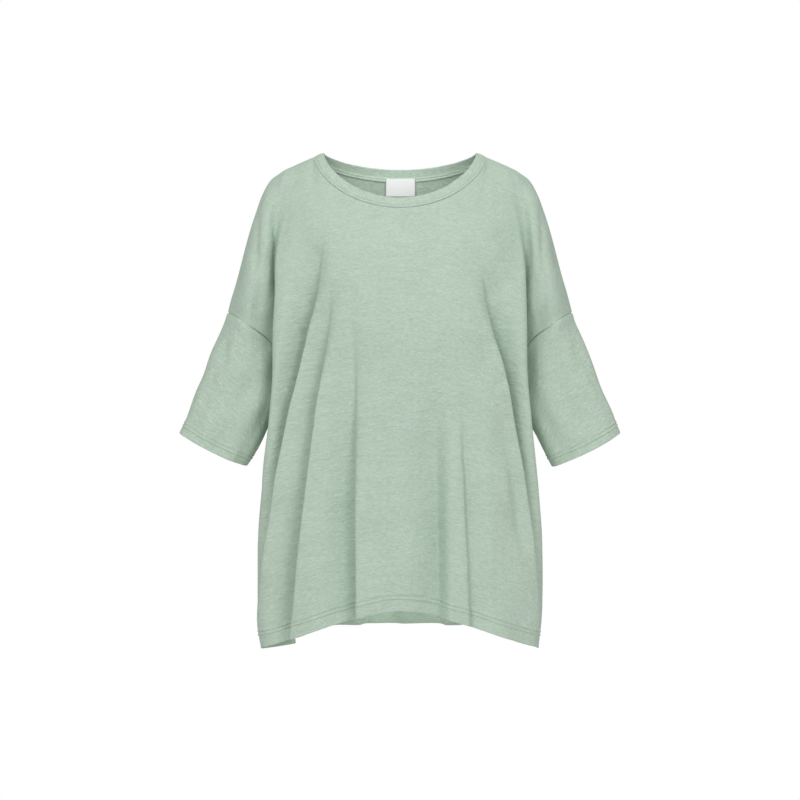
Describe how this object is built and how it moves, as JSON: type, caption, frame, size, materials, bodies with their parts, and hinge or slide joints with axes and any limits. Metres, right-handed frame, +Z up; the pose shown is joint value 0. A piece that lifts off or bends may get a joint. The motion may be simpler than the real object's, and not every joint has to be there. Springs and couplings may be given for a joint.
{
  "type": "knit blouse",
  "caption": "Oversized knit top with a wide round neck, dropped shoulders, short wide sleeves and a curved hem, filled out as worn.",
  "frame": {"origin": "midway between the two shoulder seats, in the plane through both arms", "axes": "+X towards the garment's left sleeve, +Y towards its back, +Z up"},
  "size_m": [0.658, 0.2194, 0.741],
  "materials": {
    "jersey": "matte melange single jersey with short horizontal slubs",
    "band_jersey": "matte melange jersey, folded double",
    "label": "plain woven tape"
  },
  "bodies": {
    "root": {"front_panel": "jersey", "back_panel": "jersey", "sleeve_left": "jersey", "sleeve_right": "jersey", "neckband": "band_jersey", "neck_label": "label"}
  },
  "joints": []
}
